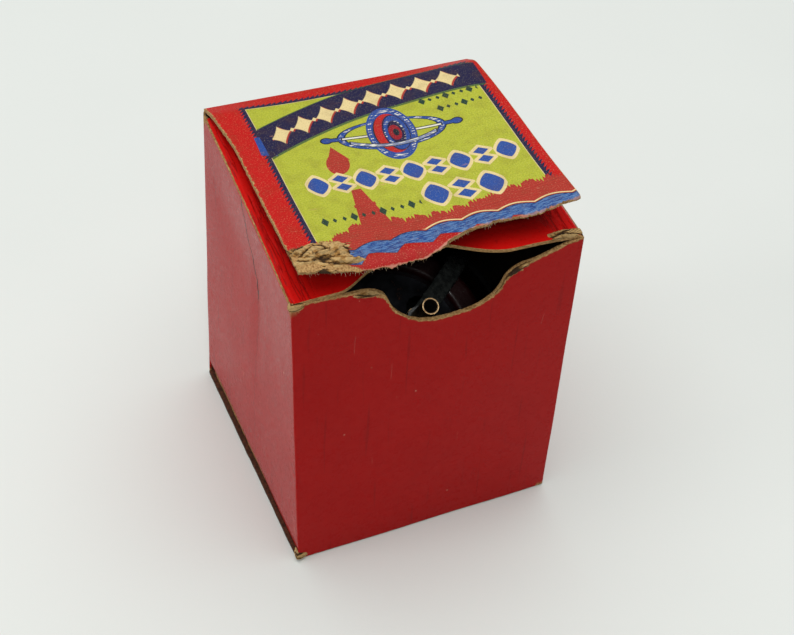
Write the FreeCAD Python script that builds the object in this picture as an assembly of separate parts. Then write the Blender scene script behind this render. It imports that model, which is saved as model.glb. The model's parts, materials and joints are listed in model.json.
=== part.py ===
"""A toy gyroscope top packed in its folding carton, one STEP file for each separate piece.

Frame: millimetres, +Z up, -Y towards the carton's front, origin at the centre of the carton's underside.
The carton is a tube of four walls with a pasted bottom, two dust flaps and a hinged lid that stands ajar.
The gyroscope leans inside it: its lower tip stands on the carton's floor and its guard ring rests on the front wall.
Everything about the gyroscope is made upright round its own centre, with the axle along Z, and is then placed.
"""

import FreeCAD, Part
import math
import os

from FreeCAD import Vector

# Gyroscope frame: an upright ring that carries the axle, and a guard ring that crosses it outside.
FRAME_RING_RADIUS = 25.0       # outside of the upright ring
FRAME_RING_WIDTH = 4.0
FRAME_RING_THICKNESS = 1.4
GUARD_RING_WIDTH = 3.2
GUARD_RING_THICKNESS = 1.4
LAP_DEPTH = 0.6                # how deep the guard ring is let into the upright ring
RING_EDGE_RADIUS = 0.55
BOSS_RADIUS = 2.3              # round seats where the tips go through the upright ring
BOSS_HEIGHT = 0.6              # above and below the ring

# Tips, bearings and nuts.
TIP_PROJECTION = 10.0          # from the upright ring to the end of each tip
TIP_RADIUS = 1.65
SOCKET_BORE_RADIUS = 1.3
BEARING_LENGTH = 4.0
BEARING_RADIUS = 1.1
CUP_RADIUS = 0.8
CUP_HALF_ANGLE = 45.0
NUT_ACROSS_FLATS = 4.6
NUT_THICKNESS = 1.5
TIP_TAIL = 1.1                 # a tip's thread that stands past its nut
BALL_RADIUS = 2.2
STRING_SLOT_WIDTH = 0.9
STRING_SLOT_DEPTH = 1.8
RIVET_RADIUS = 0.7
RIVET_HEAD_RADIUS = 1.25
RIVET_HEAD_HEIGHT = 0.45

# Rotor.
AXLE_RADIUS = 1.0
AXLE_POINT_HALF_ANGLE = 30.0
POINT_CLEARANCE = 0.12         # between an axle point and the bottom of its cup
STRING_HOLE_RADIUS = 0.5
STRING_HOLE_HEIGHT = 11.0      # above the rotor's middle
ROTOR_CLEARANCE = 3.0          # between the rim and the frame
RIM_DEPTH = 5.2                # measured along the radius
RIM_WIDTH = 8.4
RIM_EDGE_RADIUS = 1.2
WEB_THICKNESS = 1.2
WEB_LET_IN = 0.8               # how far the web goes into the rim
WEB_HOLE_RADIUS = 2.6
WEB_HOLES = 6
HUB_RADIUS = 3.2
HUB_LENGTH = 9.0
HUB_FLANGE_RADIUS = 5.0
HUB_FLANGE_THICKNESS = 1.0

# How the gyroscope lies in the carton.
AXLE_TILT = 57.5               # degrees up from the floor, leaning to the front
RING_TURN = 39.0               # degrees that the upright ring is turned about the axle
SIDE_OFFSET = 1.2              # to the right of the carton's middle
TOUCH_GAP = 0.05               # air left where the gyroscope rests on the carton

# Carton.
BOARD = 0.8
SIDE_PLAY = 1.9                # between the guard ring and each side wall
DEPTH_PLAY = 2.4               # between the guard ring and the front and back walls
HEAD_PLAY = 2.1                # above the gyroscope when it stands upright
LAYER_GAP = 0.15               # air between the closed dust flaps and the lid
SLIP_GAP = 0.4                 # air beside an edge that folds past a wall
FOLD_RADIUS = 0.6
GLUE_LAP_WIDTH = 12.0
GLUE_LAP_SHORTFALL = 6.0       # how far the lap stops below the rim
BOTTOM_FLAP_GAP = 7.4          # between the two bottom flaps
BOTTOM_TUCK_HEIGHT = 13.0
NOTCH_DEPTH = 11.4
NOTCH_BOTTOM_RADIUS = 11.0
NOTCH_SHOULDER_RADIUS = 5.0
NOTCH_FLAT = 1.8               # straight run at the notch's bottom
NOTCH_OFFSET = 1.9             # to the right of the front wall's middle
FLAP_MEETING_GAP = 1.0         # between the two closed dust flaps
FLAP_FRONT_TAPER = 6.5
FLAP_BACK_STEP = 1.5           # from the lid's hinge line to where a flap's back edge starts
FLAP_BACK_SLOPE = 1.5          # reach gained for each millimetre along the back edge
FLAP_CORNER_RADIUS = 3.0
TUCK_STUB_HEIGHT = 2.0         # what is left of the torn tuck flap
TUCK_STUB_WIDTH = 24.0
TUCK_STUB_OFFSET = -1.0
LABEL_THICKNESS = 0.12
LABEL_MARGIN = 0.4
LID_REST_ANGLE = 6.0           # how far the lid stands open
FLAP_REST_ANGLE = 3.0          # how far each dust flap has sprung up

# Worked out from the sizes above.
RING_INNER_RADIUS = FRAME_RING_RADIUS - FRAME_RING_THICKNESS
GUARD_INNER_RADIUS = FRAME_RING_RADIUS - LAP_DEPTH
GUARD_OUTER_RADIUS = GUARD_INNER_RADIUS + GUARD_RING_THICKNESS
TIP_END = FRAME_RING_RADIUS + TIP_PROJECTION
NUT_TOP = RING_INNER_RADIUS - BOSS_HEIGHT
TIP_INNER_END = NUT_TOP - NUT_THICKNESS - TIP_TAIL
CUP_DEPTH = CUP_RADIUS / math.tan(math.radians(CUP_HALF_ANGLE))
AXLE_END = TIP_INNER_END + CUP_DEPTH - POINT_CLEARANCE
RIM_OUTER_RADIUS = RING_INNER_RADIUS - ROTOR_CLEARANCE
RIM_INNER_RADIUS = RIM_OUTER_RADIUS - RIM_DEPTH

CARTON_WIDTH = 2 * (GUARD_OUTER_RADIUS + SIDE_PLAY + BOARD)
CARTON_DEPTH = 2 * (GUARD_OUTER_RADIUS + DEPTH_PLAY + BOARD)
FLOOR_TOP = 2 * BOARD
RIM_HEIGHT = FLOOR_TOP + 2 * TIP_END + HEAD_PLAY
LID_UNDERSIDE = RIM_HEIGHT + BOARD + LAYER_GAP
HALF_WIDTH = CARTON_WIDTH / 2
HALF_DEPTH = CARTON_DEPTH / 2
INNER_FRONT = BOARD - HALF_DEPTH
INNER_BACK = HALF_DEPTH - BOARD
LID_LENGTH = CARTON_DEPTH - BOARD - SLIP_GAP
FLAP_REACH = (CARTON_WIDTH - FLAP_MEETING_GAP) / 2
BOTTOM_FLAP_REACH = (CARTON_WIDTH - BOTTOM_FLAP_GAP) / 2 - BOARD

X_AXIS = Vector(1, 0, 0)
Y_AXIS = Vector(0, 1, 0)
Z_AXIS = Vector(0, 0, 1)


def block(x_span, y_span, z_span):
    """A box between two x, two y and two z values."""
    corner = Vector(x_span[0], y_span[0], z_span[0])
    return Part.makeBox(x_span[1] - x_span[0], y_span[1] - y_span[0], z_span[1] - z_span[0], corner)


def rod(radius, bottom, top):
    """A cylinder on the Z axis between two heights."""
    return Part.makeCylinder(radius, top - bottom, Vector(0, 0, bottom), Z_AXIS)


def hoop(inner, outer, width, edge_radius, both_edges=False):
    """A ring round the Z axis with rounded outer edges, and rounded inner ones too if both_edges."""
    half = width / 2
    face = Part.Face(Part.makePolygon([
        Vector(inner, 0, -half), Vector(outer, 0, -half), Vector(outer, 0, half), Vector(inner, 0, half),
        Vector(inner, 0, -half),
    ]))
    ring = face.revolve(Vector(0, 0, 0), Z_AXIS, 360)
    rounded = [
        edge for edge in ring.Edges
        if isinstance(edge.Curve, Part.Circle)
        and (both_edges or abs(edge.Curve.Radius - outer) < 1e-6)
    ]
    return ring.makeFillet(edge_radius, rounded)


# ---- carton walls and bottom


def rounded_wall(y_span, top, outer_y):
    """A wall across the carton's whole width, with its two standing outer corners rounded as folds."""
    wall = block((-HALF_WIDTH, HALF_WIDTH), y_span, (0, top))
    corners = [
        edge for edge in wall.Edges
        if abs(edge.Vertexes[0].Y - outer_y) < 1e-6 and abs(edge.Vertexes[1].Y - outer_y) < 1e-6
        and abs(edge.Vertexes[0].Z - edge.Vertexes[1].Z) > 1
    ]
    return wall.makeFillet(min(FOLD_RADIUS, 0.9 * BOARD), corners)


def thumb_notch():
    """The cutter for the notch: a round bottom with a short flat, running smoothly into two round shoulders."""
    reach = NOTCH_BOTTOM_RADIUS + NOTCH_SHOULDER_RADIUS
    rise = reach - NOTCH_DEPTH
    half_mouth = math.sqrt(reach ** 2 - rise ** 2)
    slope = math.asin(rise / reach)
    bottom_z = NOTCH_BOTTOM_RADIUS - NOTCH_DEPTH

    def point(side, x, z):
        return Vector(NOTCH_OFFSET + side * (NOTCH_FLAT / 2 + x), -HALF_DEPTH - 1, RIM_HEIGHT + z)

    def round_bottom(side, angle):
        x, z = NOTCH_BOTTOM_RADIUS * math.cos(angle), bottom_z + NOTCH_BOTTOM_RADIUS * math.sin(angle)
        return point(side, x, z)

    def shoulder(side, angle):
        x, z = half_mouth - NOTCH_SHOULDER_RADIUS * math.cos(angle), NOTCH_SHOULDER_RADIUS * (math.sin(angle) - 1)
        return point(side, x, z)

    def half_outline(side):
        mouth, meeting = shoulder(side, math.pi / 2), round_bottom(side, -slope)
        lowest = round_bottom(side, -math.pi / 2)
        return [
            Part.Arc(mouth, shoulder(side, (math.pi / 2 + slope) / 2), meeting).toShape(),
            Part.Arc(meeting, round_bottom(side, -(math.pi / 2 + slope) / 2), lowest).toShape(),
        ]

    corners = [point(-1, half_mouth, 0), point(-1, half_mouth, BOARD), point(1, half_mouth, BOARD), point(1, half_mouth, 0)]
    edges = half_outline(-1) + half_outline(1) + [Part.makeLine(point(-1, 0, -NOTCH_DEPTH), point(1, 0, -NOTCH_DEPTH))]
    edges += [Part.makeLine(start, end) for start, end in zip(corners, corners[1:])]
    outline = Part.Wire(Part.sortEdges(edges)[0])
    return Part.Face(outline).extrude(Vector(0, BOARD + 2, 0))


def carton_pieces():
    """The carton's fixed panels. They are one folded sheet on the real carton and meet at its folds."""
    side_y = (INNER_FRONT, INNER_BACK)
    lap_x = (BOARD - HALF_WIDTH, 2 * BOARD - HALF_WIDTH)
    flap_y = (INNER_FRONT + SLIP_GAP, INNER_BACK - BOARD - SLIP_GAP)
    inner_x = HALF_WIDTH - BOARD
    return {
        "front_wall": rounded_wall((-HALF_DEPTH, INNER_FRONT), RIM_HEIGHT, -HALF_DEPTH).cut(thumb_notch()),
        "back_wall": rounded_wall((INNER_BACK, HALF_DEPTH), LID_UNDERSIDE, HALF_DEPTH),
        "left_wall": block((-HALF_WIDTH, -inner_x), side_y, (BOARD, RIM_HEIGHT)),
        "right_wall": block((inner_x, HALF_WIDTH), side_y, (BOARD, RIM_HEIGHT)),
        "glue_lap": block(
            lap_x, (INNER_BACK - GLUE_LAP_WIDTH, INNER_BACK),
            (FLOOR_TOP + BOTTOM_TUCK_HEIGHT, RIM_HEIGHT - GLUE_LAP_SHORTFALL),
        ),
        "bottom_panel": block((-HALF_WIDTH, HALF_WIDTH), side_y, (0, BOARD)),
        "bottom_flap_left": block((-inner_x, BOTTOM_FLAP_REACH - inner_x), flap_y, (BOARD, FLOOR_TOP)),
        "bottom_flap_right": block((inner_x - BOTTOM_FLAP_REACH, inner_x), flap_y, (BOARD, FLOOR_TOP)),
        "bottom_tuck": block(
            (SLIP_GAP - inner_x, inner_x - SLIP_GAP), (INNER_BACK - BOARD, INNER_BACK),
            (BOARD, FLOOR_TOP + BOTTOM_TUCK_HEIGHT - SLIP_GAP),
        ),
    }


# ---- lid and dust flaps


def dust_flap(side):
    """One dust flap, sprung up by its rest angle; side is -1 for the left flap and 1 for the right one."""
    front, back = INNER_FRONT + SLIP_GAP, HALF_DEPTH - FLAP_BACK_STEP
    back_run = FLAP_REACH / FLAP_BACK_SLOPE
    outline = [(0, front), (FLAP_REACH, front + FLAP_FRONT_TAPER), (FLAP_REACH, back - back_run), (0, back)]
    points = [Vector(side * (HALF_WIDTH - reach), y, RIM_HEIGHT) for reach, y in outline]
    flap = Part.Face(Part.makePolygon(points + points[:1])).extrude(Vector(0, 0, BOARD))
    free_end = [
        edge for edge in flap.Edges
        if abs(edge.Vertexes[0].Z - edge.Vertexes[1].Z) > BOARD / 2
        and all(abs(abs(v.X) - HALF_WIDTH) > 1 for v in edge.Vertexes)
    ]
    flap = flap.makeFillet(FLAP_CORNER_RADIUS, free_end)
    flap.rotate(Vector(side * HALF_WIDTH, 0, RIM_HEIGHT), Y_AXIS, side * FLAP_REST_ANGLE)
    return flap


def opened(shape):
    """A closed lid piece turned up to the lid's rest angle about its fold on the back wall."""
    shape.rotate(Vector(0, HALF_DEPTH, LID_UNDERSIDE), -X_AXIS, LID_REST_ANGLE)
    return shape


def lid_pieces():
    """The lid panel, its printed label and what is left of its torn tuck flap."""
    front = HALF_DEPTH - LID_LENGTH
    lid_top = LID_UNDERSIDE + BOARD
    stub_middle = TUCK_STUB_OFFSET
    panel = block((-HALF_WIDTH, HALF_WIDTH), (front, HALF_DEPTH), (LID_UNDERSIDE, lid_top))
    label = block(
        (LABEL_MARGIN - HALF_WIDTH, HALF_WIDTH - LABEL_MARGIN), (front + LABEL_MARGIN, HALF_DEPTH - LABEL_MARGIN),
        (lid_top, lid_top + LABEL_THICKNESS),
    )
    stub = block(
        (stub_middle - TUCK_STUB_WIDTH / 2, stub_middle + TUCK_STUB_WIDTH / 2), (front, front + BOARD),
        (LID_UNDERSIDE - TUCK_STUB_HEIGHT, LID_UNDERSIDE),
    )
    return {"lid_panel": opened(panel), "lid_label": opened(label), "lid_tuck_stub": opened(stub)}


# ---- gyroscope frame, upright round its own centre


def rivet_shank():
    """One rivet through both rings where they cross, on the +X side, without its heads."""
    start = Vector(RING_INNER_RADIUS, 0, 0)
    return Part.makeCylinder(RIVET_RADIUS, GUARD_OUTER_RADIUS - RING_INNER_RADIUS, start, X_AXIS)


def rivet():
    """One rivet on the +X side, with a low round head inside and outside."""
    shank = Part.makeCylinder(
        RIVET_RADIUS, GUARD_OUTER_RADIUS - RING_INNER_RADIUS + RIVET_HEAD_HEIGHT,
        Vector(RING_INNER_RADIUS - RIVET_HEAD_HEIGHT / 2, 0, 0), X_AXIS,
    )
    outer = Part.makeCylinder(RIVET_HEAD_RADIUS, RIVET_HEAD_HEIGHT, Vector(GUARD_OUTER_RADIUS, 0, 0), X_AXIS)
    inner = Part.makeCylinder(RIVET_HEAD_RADIUS, RIVET_HEAD_HEIGHT, Vector(RING_INNER_RADIUS, 0, 0), -X_AXIS)
    return shank.fuse([outer, inner]).removeSplitter()


def mirrored_pair(shape):
    """A shape and its twin half a turn round the axle."""
    twin = shape.copy()
    twin.rotate(Vector(0, 0, 0), Z_AXIS, 180)
    return [shape, twin]


def guard_ring():
    """The outer ring round the rotor's edge."""
    ring = hoop(GUARD_INNER_RADIUS, GUARD_OUTER_RADIUS, GUARD_RING_WIDTH, RING_EDGE_RADIUS)
    return ring.cut(Part.makeCompound(mirrored_pair(rivet_shank()) + mirrored_pair(rivet())))


def frame_ring():
    """The upright ring, with a round seat for each tip and a shallow lap for the guard ring."""
    ring = hoop(RING_INNER_RADIUS, FRAME_RING_RADIUS, FRAME_RING_WIDTH, RING_EDGE_RADIUS)
    ring.rotate(Vector(0, 0, 0), X_AXIS, 90)
    seat = rod(BOSS_RADIUS, RING_INNER_RADIUS - BOSS_HEIGHT, FRAME_RING_RADIUS + BOSS_HEIGHT)
    low_seat = seat.mirror(Vector(0, 0, 0), Z_AXIS)
    ring = ring.fuse([seat, low_seat]).removeSplitter()
    bore = rod(TIP_RADIUS, -TIP_END, TIP_END)
    half_lap = hoop(
        GUARD_INNER_RADIUS, FRAME_RING_RADIUS + GUARD_RING_THICKNESS, GUARD_RING_WIDTH, RING_EDGE_RADIUS / 10
    )
    return ring.cut(Part.makeCompound([bore, half_lap] + mirrored_pair(rivet())))


def frame_rivets():
    """The two rivets that hold the rings together."""
    return Part.makeCompound(mirrored_pair(rivet()))


def tip_nuts():
    """The two thin nuts that hold the tips in the upright ring."""
    circumradius = NUT_ACROSS_FLATS / 2 / math.cos(math.pi / 6)
    corners = [
        Vector(circumradius * math.cos(k * math.pi / 3), circumradius * math.sin(k * math.pi / 3), NUT_TOP)
        for k in range(7)
    ]
    nut = Part.Face(Part.makePolygon(corners)).extrude(Vector(0, 0, -NUT_THICKNESS))
    nut = nut.cut(rod(TIP_RADIUS, 0, TIP_END))
    return Part.makeCompound([nut, nut.mirror(Vector(0, 0, 0), Z_AXIS)])


def cup():
    """The cone that an axle point turns in, for the upper bearing."""
    return Part.makeCone(CUP_RADIUS, 0, CUP_DEPTH, Vector(0, 0, TIP_INNER_END), Z_AXIS)


def socket_tip():
    """The upper tip: a tube, open and thin at its end, that stands on a stand's point or on a finger."""
    bearing_end = TIP_INNER_END + BEARING_LENGTH
    socket = rod(SOCKET_BORE_RADIUS, bearing_end, TIP_END)
    bearing_seat = rod(BEARING_RADIUS, TIP_INNER_END, bearing_end)
    return rod(TIP_RADIUS, TIP_INNER_END, TIP_END).cut(Part.makeCompound([socket, bearing_seat]))


def socket_bearing():
    """The plug in the upper tip's inner end, with the cup for the axle point."""
    return rod(BEARING_RADIUS, TIP_INNER_END, TIP_INNER_END + BEARING_LENGTH).cut(cup())


def string_tip():
    """The lower tip: a shank with a ball end, slotted to run along a string."""
    shank = rod(TIP_RADIUS, -TIP_END + BALL_RADIUS, -TIP_INNER_END)
    ball = Part.makeSphere(BALL_RADIUS, Vector(0, 0, BALL_RADIUS - TIP_END))
    slot = block(
        (-2 * BALL_RADIUS, 2 * BALL_RADIUS), (-STRING_SLOT_WIDTH / 2, STRING_SLOT_WIDTH / 2),
        (-TIP_END - BALL_RADIUS, STRING_SLOT_DEPTH - TIP_END),
    )
    low_cup = cup().mirror(Vector(0, 0, 0), Z_AXIS)
    return shank.fuse(ball).removeSplitter().cut(Part.makeCompound([slot, low_cup]))


# ---- rotor, upright round its own centre


def axle():
    """The spindle, pointed at both ends, with the hole that takes the pull string's end."""
    point_length = AXLE_RADIUS / math.tan(math.radians(AXLE_POINT_HALF_ANGLE))
    shoulder = AXLE_END - point_length
    upper = Part.makeCone(AXLE_RADIUS, 0, point_length, Vector(0, 0, shoulder), Z_AXIS)
    spindle = rod(AXLE_RADIUS, -shoulder, shoulder).fuse([upper, upper.mirror(Vector(0, 0, 0), Z_AXIS)])
    string_hole = Part.makeCylinder(
        STRING_HOLE_RADIUS, 4 * AXLE_RADIUS, Vector(-2 * AXLE_RADIUS, 0, STRING_HOLE_HEIGHT), X_AXIS
    )
    return spindle.removeSplitter().cut(string_hole)


def rotor_hub():
    """The turned bush on the axle, with a flange that the web sits on."""
    body = rod(HUB_RADIUS, -HUB_LENGTH / 2, HUB_LENGTH / 2)
    flange = rod(HUB_FLANGE_RADIUS, -WEB_THICKNESS / 2 - HUB_FLANGE_THICKNESS, -WEB_THICKNESS / 2)
    return body.fuse(flange).removeSplitter().cut(rod(AXLE_RADIUS, -HUB_LENGTH, HUB_LENGTH))


def rotor_web():
    """The pressed disc between hub and rim, with its ring of round holes."""
    edge = RIM_INNER_RADIUS + WEB_LET_IN
    disc = rod(edge, -WEB_THICKNESS / 2, WEB_THICKNESS / 2).cut(rod(HUB_RADIUS, -HUB_LENGTH, HUB_LENGTH))
    hole_circle = (HUB_FLANGE_RADIUS + RIM_INNER_RADIUS) / 2
    holes = []
    for k in range(WEB_HOLES):
        angle = 2 * math.pi * k / WEB_HOLES
        centre = Vector(hole_circle * math.cos(angle), hole_circle * math.sin(angle), -WEB_THICKNESS)
        holes.append(Part.makeCylinder(WEB_HOLE_RADIUS, 2 * WEB_THICKNESS, centre, Z_AXIS))
    return disc.cut(Part.makeCompound(holes))


def rotor_rim():
    """The heavy cast rim, closed round the edge of the web."""
    rim = hoop(RIM_INNER_RADIUS, RIM_OUTER_RADIUS, RIM_WIDTH, RIM_EDGE_RADIUS, both_edges=True)
    return rim.cut(rod(RIM_INNER_RADIUS + WEB_LET_IN, -WEB_THICKNESS / 2, WEB_THICKNESS / 2))


# ---- placing the gyroscope in the carton


def axle_direction():
    """The way the axle points, from the string tip to the socket tip."""
    tilt = math.radians(AXLE_TILT)
    return Vector(0, -math.cos(tilt), math.sin(tilt))


def gyroscope_centre():
    """The middle of the rotor: the ball stands on the floor, and the guard ring or the tip meets the front wall."""
    tilt = math.radians(AXLE_TILT)
    guard_reach = GUARD_OUTER_RADIUS * math.sin(tilt) + GUARD_RING_WIDTH / 2 * math.cos(tilt)
    tip_reach = TIP_END * math.cos(tilt) + TIP_RADIUS * math.sin(tilt)
    forward_reach = max(guard_reach, tip_reach)
    height = FLOOR_TOP + BALL_RADIUS + TOUCH_GAP + (TIP_END - BALL_RADIUS) * math.sin(tilt)
    return Vector(SIDE_OFFSET, INNER_FRONT + TOUCH_GAP + forward_reach, height)


def placed(shape):
    """A gyroscope piece moved from its upright place to where it lies in the carton."""
    tilt, turn = math.radians(AXLE_TILT), math.radians(RING_TURN)
    up = axle_direction()
    back = Vector(0, math.sin(tilt), math.cos(tilt))
    across = X_AXIS * math.cos(turn) + back * math.sin(turn)
    third = up.cross(across)
    centre = gyroscope_centre()
    matrix = FreeCAD.Matrix(
        across.x, third.x, up.x, centre.x,
        across.y, third.y, up.y, centre.y,
        across.z, third.z, up.z, centre.z,
        0, 0, 0, 1,
    )
    moved = shape.copy()
    moved.Placement = FreeCAD.Placement(matrix).multiply(shape.Placement)
    return moved


def gyroscope_pieces():
    """The frame's pieces and the rotor's pieces, in place."""
    upright = {
        "frame_ring": frame_ring(),
        "guard_ring": guard_ring(),
        "frame_rivets": frame_rivets(),
        "socket_tip": socket_tip(),
        "socket_bearing": socket_bearing(),
        "string_tip": string_tip(),
        "tip_nuts": tip_nuts(),
        "axle": axle(),
        "rotor_hub": rotor_hub(),
        "rotor_web": rotor_web(),
        "rotor_rim": rotor_rim(),
    }
    return {name: placed(shape) for name, shape in upright.items()}


def all_pieces():
    """Every piece by name."""
    pieces = carton_pieces()
    pieces.update(lid_pieces())
    pieces.update({"dust_flap_left": dust_flap(-1), "dust_flap_right": dust_flap(1)})
    pieces.update(gyroscope_pieces())
    return pieces


def main():
    os.makedirs("parts", exist_ok=True)
    for name, shape in all_pieces().items():
        if not shape.isValid():
            raise ValueError(name + " is not a valid shape")
        shape.exportStep("parts/" + name + ".step")
        volume = sum(solid.Volume for solid in shape.Solids)
        print(f"{name}: {len(shape.Solids)} solid(s), {volume:.1f} mm3")


if __name__ == "__main__":
    main()
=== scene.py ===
# %% [markdown]
# # A toy gyroscope top in its worn carton
# The real object is a small box folded from one sheet of brown board, faced with red paper. A printed label
# covers its lid. Inside lies a gyroscope: two black enamelled rings, brass tips and a heavy turning rotor.
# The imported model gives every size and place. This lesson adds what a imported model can't show: folded
# corners, torn edges, a warped lid, printing, paper, enamel and metal.

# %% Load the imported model
import json
import math

import bmesh
import bpy
from mathutils import Matrix, Vector, noise


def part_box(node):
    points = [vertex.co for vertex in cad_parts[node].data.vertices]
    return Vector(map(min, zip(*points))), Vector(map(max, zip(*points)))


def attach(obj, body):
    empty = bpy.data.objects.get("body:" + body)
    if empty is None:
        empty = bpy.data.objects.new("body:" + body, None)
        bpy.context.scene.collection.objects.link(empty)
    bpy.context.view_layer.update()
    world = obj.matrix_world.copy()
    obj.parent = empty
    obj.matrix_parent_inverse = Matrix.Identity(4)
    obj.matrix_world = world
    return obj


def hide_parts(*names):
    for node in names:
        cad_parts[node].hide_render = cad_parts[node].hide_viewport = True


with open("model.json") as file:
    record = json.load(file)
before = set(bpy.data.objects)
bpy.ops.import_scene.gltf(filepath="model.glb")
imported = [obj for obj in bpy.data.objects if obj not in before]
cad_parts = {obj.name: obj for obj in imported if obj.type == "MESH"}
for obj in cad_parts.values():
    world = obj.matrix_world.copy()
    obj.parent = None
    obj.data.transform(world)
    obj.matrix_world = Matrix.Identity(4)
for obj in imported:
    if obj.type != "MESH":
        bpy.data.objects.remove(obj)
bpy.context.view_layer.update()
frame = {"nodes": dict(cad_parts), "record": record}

MM = 0.001

# %% [markdown]
# ## Sizes
# The carton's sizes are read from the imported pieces, in millimetres, so the folded mesh lands on the same
# walls.

# %% Read the carton's sizes
front_low, front_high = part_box("front_wall")
back_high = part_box("back_wall")[1]
HALF_WIDTH = front_high[0] / MM
HALF_DEPTH = back_high[1] / MM
BOARD = (front_high[1] - front_low[1]) / MM
RIM = front_high[2] / MM
LID_FOLD = back_high[2] / MM
joints = {joint["name"]: joint for joint in frame["record"]["behaviour"]["joints"]}
LID_REST = -joints["lid_hinge"]["range_deg"][0]
FLAP_REST = -joints["left_flap_hinge"]["range_deg"][0]
print(f"carton {2 * HALF_WIDTH:.1f} x {2 * HALF_DEPTH:.1f} x {RIM:.1f} mm, board {BOARD:.2f} mm")
print("lid open", LID_REST, "degrees, flaps open", FLAP_REST)

# %% [markdown]
# ## Camera
# A long lens from the front left, well above the box. Its place is given as a heading, a height and a tilt
# round one point, which is easier to adjust than loose coordinates. The camera is rolled a little, as a
# hand-held one is.

# %% Place the camera
AIM = Vector((-1.6, -14.7, 49.5)) * MM
AIM_DISTANCE = 0.350
HEADING = math.radians(-22.82)
LOOK_DOWN = math.radians(45.22)
CAMERA_ROLL = math.radians(3.77)
LENS = 79.45
NEAREST_SEEN = 0.01


def new_object(name, data):
    made = bpy.data.objects.new(name, data)
    bpy.context.collection.objects.link(made)
    return made


camera = new_object("camera", bpy.data.cameras.new("camera"))
camera.data.lens = LENS
camera.data.clip_start = NEAREST_SEEN
turn = Matrix.Rotation(HEADING, 4, "Z") @ Matrix.Rotation(math.pi / 2 - LOOK_DOWN, 4, "X")
turn = turn @ Matrix.Rotation(CAMERA_ROLL, 4, "Z")
camera.matrix_world = Matrix.Translation(AIM) @ turn @ Matrix.Translation((0, 0, AIM_DISTANCE))
bpy.context.scene.camera = camera
print("camera at", [round(value, 4) for value in camera.matrix_world.translation])

# %% [markdown]
# ## A small language for finishes
# A procedural finish is a chain of number nodes. Written as nodes it can't be read, so one small class
# wraps a node's output and lets ordinary arithmetic build the chain. `1 - mask` and `mask * 0.5` then mean
# what they say.

# %% Wrap a shader number so that it can be added, multiplied and compared
class Number:
    """One changing number in a finish."""

    def __init__(self, finish, socket):
        self.finish = finish
        self.socket = socket

    def math(self, operation, *others, clamp=False):
        sockets = {index: value for index, value in enumerate((self, *others))}
        made = self.finish.node("Math", {"operation": operation, "use_clamp": clamp}, sockets)
        return Number(self.finish, made.outputs[0])

    def __neg__(self):
        return self * -1.0

    def __rsub__(self, other):
        return -self + other

    def clamped(self):
        return self.math("ADD", 0.0, clamp=True)

    def over(self, level, soft):
        """0 below level, 1 above it, with a ramp that is soft wide."""
        return ((self - level) / soft + 0.5).clamped()

    def under(self, level, soft):
        return 1 - self.over(level, soft)


def operator(operation):
    return lambda number, *others: number.math(operation, *others)


for method, operation in {
    "__add__": "ADD", "__radd__": "ADD", "__sub__": "SUBTRACT", "__mul__": "MULTIPLY", "__rmul__": "MULTIPLY",
    "__truediv__": "DIVIDE", "__pow__": "POWER", "__abs__": "ABSOLUTE", "least": "MINIMUM", "most": "MAXIMUM",
    "sine": "SINE", "fraction": "FRACT", "floor": "FLOOR",
}.items():
    setattr(Number, method, operator(operation))


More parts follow.
